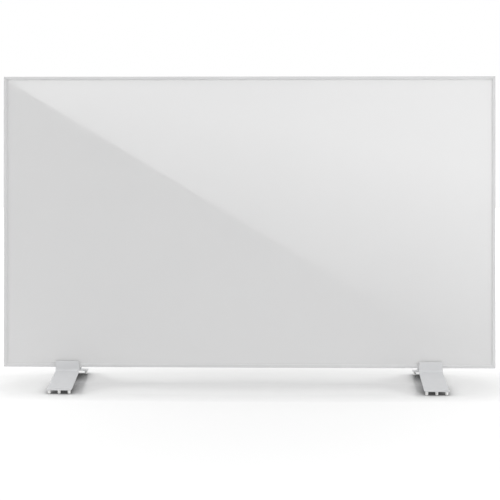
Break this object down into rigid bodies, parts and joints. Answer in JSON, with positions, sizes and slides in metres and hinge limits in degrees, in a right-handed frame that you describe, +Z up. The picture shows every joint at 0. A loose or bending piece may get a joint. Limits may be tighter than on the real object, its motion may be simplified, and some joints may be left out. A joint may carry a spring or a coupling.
{
  "type": "infrared heater",
  "caption": "Free-standing infrared panel heater: flat white glass face in a thin frame, on two clamp-on splayed feet.",
  "frame": {"origin": "on the floor, under the middle of the panel", "axes": "+X along the panel to the right seen from the front, +Y to the back, +Z up; the glass faces -Y"},
  "size_m": [1.005, 0.24, 0.63],
  "materials": {
    "white_glass": "gloss",
    "frame_white": "satin",
    "cover_white": "satin",
    "foot_grey": "satin",
    "silicone_grey": "matte",
    "silicone_white": "matte",
    "cast_zinc": "satin",
    "zinc_plate": "satin",
    "resistance_foil": "satin",
    "mica": "matte",
    "foil": "gloss",
    "mineral_wool": "matte",
    "brass": "satin",
    "black_plastic": "satin",
    "white_plastic": "satin",
    "nylon": "satin",
    "ceramic": "gloss",
    "black_rubber": "matte",
    "lead_brown": "satin",
    "lead_blue": "satin",
    "lead_green": "satin"
  },
  "bodies": {
    "panel": {"front_glass": "white_glass", "glass_seal": "silicone_grey", "frame_top_rail": "frame_white", "frame_bottom_rail": "frame_white", "frame_left_rail": "frame_white", "frame_right_rail": "frame_white", "corner_keys": "cast_zinc", "heater_track": "resistance_foil", "heater_board": "mica", "reflector_foil": "foil", "insulation_board": "mineral_wool", "terminal_posts": "brass", "cutout_bodies": "black_plastic", "cutout_tabs": "zinc_plate", "rear_cover": "cover_white", "rear_cover_screws": "zinc_plate", "wall_rivet_nuts": "zinc_plate", "terminal_box": "white_plastic", "terminal_box_lid": "white_plastic", "lid_gasket": "silicone_grey", "lid_screws": "zinc_plate", "box_screws": "zinc_plate", "terminal_block": "ceramic", "terminal_inserts": "brass", "terminal_screws": "zinc_plate", "cable_grommet": "black_rubber", "earth_stud": "zinc_plate", "earth_nut": "brass", "gland_body": "black_plastic", "gland_locknut": "black_plastic", "gland_seal": "black_rubber", "gland_nut": "black_plastic", "switch_body": "black_plastic", "switch_tabs": "zinc_plate", "live_lead": "lead_brown", "switched_lead": "lead_brown", "cutout_link_lead": "lead_brown", "track_lead": "lead_brown", "neutral_lead": "lead_blue", "earth_lead": "lead_green"},
    "switch_rocker": {"switch_rocker": "black_plastic"},
    "left_foot": {"left_foot": "foot_grey", "left_foot_liner": "silicone_white", "left_foot_bumpers": "silicone_white", "left_foot_pads": "nylon"},
    "left_inner_thumb_screw": {"left_inner_thumb_screw": "black_plastic"},
    "left_outer_thumb_screw": {"left_outer_thumb_screw": "black_plastic"},
    "right_foot": {"right_foot": "foot_grey", "right_foot_liner": "silicone_white", "right_foot_bumpers": "silicone_white", "right_foot_pads": "nylon"},
    "right_inner_thumb_screw": {"right_inner_thumb_screw": "black_plastic"},
    "right_outer_thumb_screw": {"right_outer_thumb_screw": "black_plastic"}
  },
  "joints": [
    {"name": "switch_tilt", "type": "hinge", "parent": "panel", "child": "switch_rocker", "pos_m": [0.061, 0.03, 0.157], "axis": [0, 1, 0], "range_deg": [0, 16]},
    {"name": "left_foot_slide", "type": "slide", "parent": "panel", "child": "left_foot", "axis": [-1, 0, 0], "range_m": [-0.23, 0.1]},
    {"name": "left_inner_screw_turn", "type": "hinge", "parent": "left_foot", "child": "left_inner_thumb_screw", "pos_m": [-0.358, 0.018, 0.057], "axis": [0, 1, 0], "range_deg": [0, 720]},
    {"name": "left_outer_screw_turn", "type": "hinge", "parent": "left_foot", "child": "left_outer_thumb_screw", "pos_m": [-0.384, 0.018, 0.057], "axis": [0, 1, 0], "range_deg": [0, 720]},
    {"name": "right_foot_slide", "type": "slide", "parent": "panel", "child": "right_foot", "axis": [1, 0, 0], "range_m": [-0.23, 0.1]},
    {"name": "right_inner_screw_turn", "type": "hinge", "parent": "right_foot", "child": "right_inner_thumb_screw", "pos_m": [0.358, 0.018, 0.057], "axis": [0, 1, 0], "range_deg": [0, 720]},
    {"name": "right_outer_screw_turn", "type": "hinge", "parent": "right_foot", "child": "right_outer_thumb_screw", "pos_m": [0.384, 0.018, 0.057], "axis": [0, 1, 0], "range_deg": [0, 720]}
  ]
}
